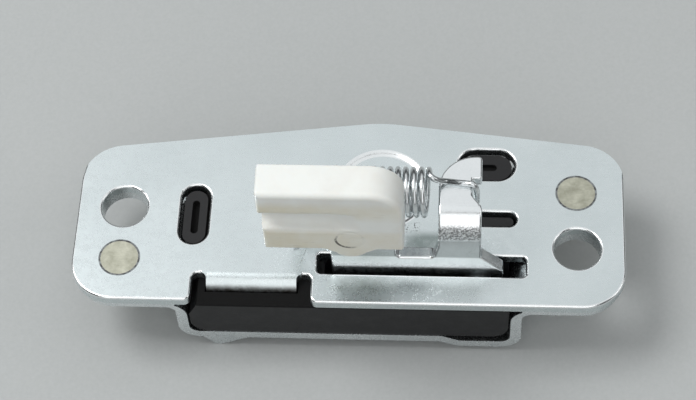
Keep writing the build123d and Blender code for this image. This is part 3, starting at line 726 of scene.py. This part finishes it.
tail = np.array([
    (tail_x, coil_y, coil_z - 1.7),
    (tail_x, coil_y, coil_z - 1.2),
    (tail_x, coil_y, coil_z - 0.75),
    (tail_x + 0.06, coil_y, coil_z - 0.40),
    (tail_x + 0.25, coil_y, coil_z - 0.12),
    (tail_x + 0.60, coil_y, coil_z),
])
path = np.concatenate([
    tail,
    inner_end[None, :],
    bend(inner_end, (6.0, 0, 0), helix[0], arrive, 24),
    helix,
    bend(helix[-1], leave, arm_start, (4.0, 0.6, -1.6), 24),
    arm_start[None, :],
    over_start[None, :],
    bend(over_start, (5.0, -0.6, 2.4), over_end, (0, -0.6, -3.4), 20),
    over_end[None, :],
])
spring = wire("return_spring_wire", path, wire_r, spring_wire)
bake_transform(spring)
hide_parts("return_spring")
wire_length = np.linalg.norm(np.diff(path, axis=0), axis=1).sum()
print("return spring wire is", round(float(wire_length)), "mm long")

# %% [markdown]
# The claw's spring works inside the case, and shows only through the striker's mouth. It is
# wound round the stud: its lower end stands in the claw, and its leg bears on the liner. So
# its turns twist when the claw turns.

# %% Claw spring
claw_coil_r = 5.4
claw_coil_z = -5.70
claw_wire_r = 0.45
first = radians(-58.0)
last = radians(-630.0)
angle = np.linspace(first, last, 90)
coil_heights = claw_coil_z + (first - angle) / (2 * pi)
claw_coil = np.stack([
    stud_x + claw_coil_r * np.cos(angle),
    stud_y + claw_coil_r * np.sin(angle),
    coil_heights,
], 1)
foot = np.array([stud_x + claw_coil_r * cos(first), stud_y + claw_coil_r * sin(first), 0.0])
foot_top = foot + (0, 0, -6.15)
path = np.concatenate([
    [foot + (0, 0, -7.65)],
    [foot + (0, 0, -6.5)],
    [foot_top],
    bend(foot_top, (0, 0, 0.9), claw_coil[2], (claw_coil[3] - claw_coil[2]) * 2.5, 5),
    claw_coil[2:],
    [(19.9, stud_y + claw_coil_r, coil_heights[-1])],
])
claw_wire = wire("claw_spring_wire", path, claw_wire_r, spring_wire, 12)
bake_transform(claw_wire)
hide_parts("claw_spring")
print("claw spring faces:", len(claw_wire.data.polygons))

# %% [markdown]
# The clip is one moulding with soft edges all round. Its outline in the XZ plane is a round
# cornered block with a bump under the peg and a small step on the left, where the rod's seat
# begins. The outline is a closed chain of arcs that can be drawn in by any amount.

# %% Outline of the clip
def corner(cx, cz, r, a0, a1, count):
    """Points of an arc from a0 to a1 degrees: x = cx + r cos a, z = cz + r sin a."""
    t = np.radians(np.linspace(a0, a1, count))
    return np.stack([cx + r * np.cos(t), cz + r * np.sin(t)], 1)


left = eye_x - 15.7
right_side = eye_x + 9.3
top = eye_z + 14.0
low = eye_z - 3.6
seat_z = eye_z + 5.5
step = 0.6
big_r = 6.0
bump_r = 3.6
bump_low = 6.2
fillet_r = 0.9
fillet_x = 4.9


def outline(d):
    """The clip's closed outline, drawn in by d: outer corners tighten and inner ones widen."""
    a = max(0.45 - d, 0.03)
    b = max(0.30 - d, 0.03)
    points = np.concatenate([
        corner(right_side - big_r, top - big_r, big_r - d, 0, 90, 24),
        corner(left + d + a, top - d - a, a, 90, 180, 6),
        corner(left + d + b, seat_z + d + b, b, 180, 270, 5),
        corner(left + step + d, seat_z + d, 0.02, 90, 180, 3),
        corner(left + step + d + a, low + d + a, a, 180, 270, 6),
        corner(eye_x - fillet_x, low - fillet_r, fillet_r + d, 90, 38, 6),
        corner(eye_x, eye_z - bump_low + bump_r, bump_r - d, 214, 326, 22),
        corner(eye_x + fillet_x, low - fillet_r, fillet_r + d, 142, 90, 6),
        corner(right_side - d - a, low + d + a, a, 270, 360, 6),
    ])
    return np.concatenate([points, points[:1]])


count = 440
whole = outline(0.0)
run = np.concatenate([[0.0], np.cumsum(np.linalg.norm(np.diff(whole, axis=0), axis=1))])
number = np.arange(len(whole))
place_of = np.interp(np.linspace(0.0, run[-1], count, endpoint=False), run, number)
print("the clip's outline is", round(float(run[-1]), 1), "mm long")

# %% [markdown]
# The outline is carried from the back face to the front face, and drawn in by a quarter
# circle at both, which rounds the edges. Rings that shrink to the middle close the two
# faces, and they are dense enough to be shaped afterwards.

# %% Rows of the clip
clip_front = -15.6
clip_back = -9.1
edge_r = 1.0
back_r = 0.35
quarter = np.linspace(0.0, pi / 2, 9)
centre = np.array([-1.0, 26.6])
spread = np.linspace(1.0, 0.0, 64)[1:]


def rim(d):
    """The outline as evenly spread points, each at the same share of its stretch for every d."""
    points = outline(d)
    columns = [np.interp(place_of, number, points[:, axis]) for axis in (0, 1)]
    return np.stack(columns, 1)


def row(y, inward, shrink=1.0):
    """Outline at depth y, drawn in by that much, and scaled by shrink to the middle."""
    xz = (rim(inward) - centre) * shrink + centre
    return np.stack([xz[:, 0], np.full(count, y), xz[:, 1]], 1)


rows = [row(clip_back, back_r, f) for f in spread[::-1]]
rows += [row(clip_back - back_r * (1 - cos(q)), back_r * (1 - sin(q))) for q in quarter]
rows += [row(y, 0.0) for y in np.linspace(clip_back - back_r, clip_front + edge_r, 16)[1:-1]]
rows += [row(clip_front + edge_r * (1 - sin(q)), edge_r * (1 - cos(q))) for q in quarter]
rows += [row(clip_front, edge_r, f) for f in spread]
print("rows from back to front:", len(rows))

# %% [markdown]
# The rod's seat is pressed in last: every point in front of the seat's surface moves back
# onto it. The seat is half a round bar along X, y = the root of seat_r squared less the
# height squared, and it fades out over the clip's right part. Its lips are softened by a
# bell curve, and a fine groove of the same kind runs round the peg.

# %% Rod seat
seat_r = 2.55
lip_w = 0.55
groove_r = 2.4
groove_w = 0.16
groove_depth = 0.10
x, y, z = np.moveaxis(np.stack(rows), -1, 0)
fade = np.clip((eye_x + 2.6 - x) / 6.5, 0.0, 1.0)
fade = fade * fade * (3 - 2 * fade)
above = np.abs(z - seat_z)
depth = np.sqrt(np.clip(seat_r**2 - above**2, 0.0, None)) * fade
lip = 0.45 * lip_w * np.exp(-(((above - seat_r) / lip_w) ** 2)) * fade
seat = clip_front + np.where(above < seat_r, np.maximum(depth, lip), lip)
near_front = y < clip_front + 3.2
seated = np.where(near_front, np.maximum(y, seat), y)
on_face = y < clip_front + 0.01
from_peg = np.hypot(x - eye_x, z - eye_z)
groove = groove_depth * np.exp(-(((from_peg - groove_r) / groove_w) ** 2)) * on_face
clip_points = np.stack([x, seated + groove, z], -1)
clip = grid_mesh("rod_clip_body", clip_points, white_plastic, close_ends=False)
print("clip faces:", len(clip.data.polygons))

# %% [markdown]
# The clip's peg goes through the lever's eye and holds itself with a snap head behind the
# sheet. It is a turned profile: radius against depth, carried once round the peg's axis.

# %% Peg of the clip
profile = np.array([
    (0.02, clip_back - 0.5), (2.0, clip_back - 0.5), (2.0, -6.55), (2.0, -6.45), (2.55, -6.35),
    (2.62, -6.0), (2.2, -5.4), (1.6, -4.95), (0.9, -4.9), (0.02, -4.9),
])
t = np.linspace(0.0, 2 * pi, 40, endpoint=False)
peg_points = np.stack([
    eye_x + profile[:, 0, None] * np.cos(t)[None, :],
    np.broadcast_to(profile[:, 1, None], (len(profile), len(t))),
    eye_z + profile[:, 0, None] * np.sin(t)[None, :],
], -1)
peg = grid_mesh("rod_clip_peg", peg_points, white_plastic)
for piece in (clip, peg):
    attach(piece, "clip")
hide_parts("rod_clip")

# %% [markdown]
# The other pieces have the right shape already. Each only gets its finish, in the material
# slot that the CAD mesh brought along.

# %% Finishes on the CAD nodes
finish_of = {
    "case_liner": black_plastic,
    "rivet_left": bare_steel,
    "rivet_right": bare_steel,
    "lever_pin": pin_steel,
    "spring_anchor": zinc_lever,
    "anchor_rivet": pin_steel,
    "catch_claw": claw_steel,
    "claw_jacket": jacket_plastic,
    "claw_bush": bush_plastic,
    "claw_stud": pin_steel,
    "stud_washer": pin_steel,
    "claw_stop_bumper": black_rubber,
    "mouth_bumper": black_rubber,
    "lever_stop_block": black_rubber,
    "mounting_plate": zinc_plate,
    "case_shell": zinc_case,
    "release_lever": zinc_lever,
    "return_spring": zinc_hidden,
    "claw_spring": zinc_hidden,
    "rod_clip": bush_plastic,
}
for name, material in finish_of.items():
    slots = nodes[name].material_slots
    if not slots:
        nodes[name].data.materials.append(material)
    for s in slots:
        s.material = material
print("finished nodes:", len(finish_of))

# %% [markdown]
# The latch lies on grey paper. A big plane under its lowest point takes the soft shadow.

# %% Floor
half = 3.0
floor_z = -16.95 * MM
floor_mesh = bpy.data.meshes.new("floor")
corners = [(-half, -half), (half, -half), (half, half), (-half, half)]
floor_mesh.from_pydata([(x, y, floor_z) for x, y in corners], [], [(0, 1, 2, 3)])
floor = bpy.data.objects.new("floor", floor_mesh)
bpy.context.scene.collection.objects.link(floor)
paper, tree, shader, place = start("grey_paper", 0.0, 1.45)
fibre = noise(tree, place, 1500.0, 4.0, 0.6)
mottled = ramp(tree, fibre, 0.3, 0.7)
colour = mix(tree, mottled, (0.440, 0.457, 0.454, 1.0), (0.470, 0.487, 0.484, 1.0))
shader.inputs["Specular IOR Level"].default_value = 0.2
join(tree, shader, colour, ramp(tree, fibre, 0.3, 0.7, 0.75, 0.85), fibre, 0.05, 0.05 * MM)
floor_mesh.materials.append(paper)
print("floor at", round(floor_z / MM, 2), "mm")

# %% [markdown]
# Plain studio light in a pale room: one big soft panel overhead and behind, which the flat
# plate mirrors evenly and which lets the case throw its soft shadow forward, and a tall
# panel in front, which gives every edge that is rolled towards the camera its white line.
# Two weak panels at the sides lift the faces that look left and right. A smaller key from
# the upper left adds the light that white plastic and paper need.

# %% Lights
def panel(name, place, width, height, power, tint=(1.0, 1.0, 1.0)):
    """Area lamp at place, turned so that it shines at the latch."""
    data = bpy.data.lights.new(name, "AREA")
    data.shape = "RECTANGLE"
    data.size = width
    data.size_y = height
    data.energy = power
    data.color = tint
    lamp = bpy.data.objects.new(name, data)
    bpy.context.scene.collection.objects.link(lamp)
    lamp.location = place
    aim = Vector((0.0, 0.0, 0.0)) - Vector(place)
    lamp.rotation_euler = aim.to_track_quat("-Z", "Y").to_euler()


panel("top_panel", (0.0, 0.42, 0.98), 1.50, 1.50, 5.0, (0.97, 0.99, 1.0))
panel("front_panel", (0.0, -1.00, 0.85), 1.35, 1.70, 8.0)
panel("left_panel", (-1.05, 0.0, 0.70), 0.70, 0.80, 2.2)
panel("right_panel", (1.05, 0.0, 0.70), 0.70, 0.80, 2.2)
panel("key", (-0.50, 0.12, 0.85), 0.45, 0.40, 4.6)
room = bpy.data.worlds.new("room")
bpy.context.scene.world = room
room.use_nodes = True
background = room.node_tree.nodes["Background"]
background.inputs["Color"].default_value = (0.95, 0.98, 1.0, 1.0)
background.inputs["Strength"].default_value = 0.09
bpy.context.scene.view_settings.view_transform = "Standard"
print("lamps:", len(bpy.data.lights))
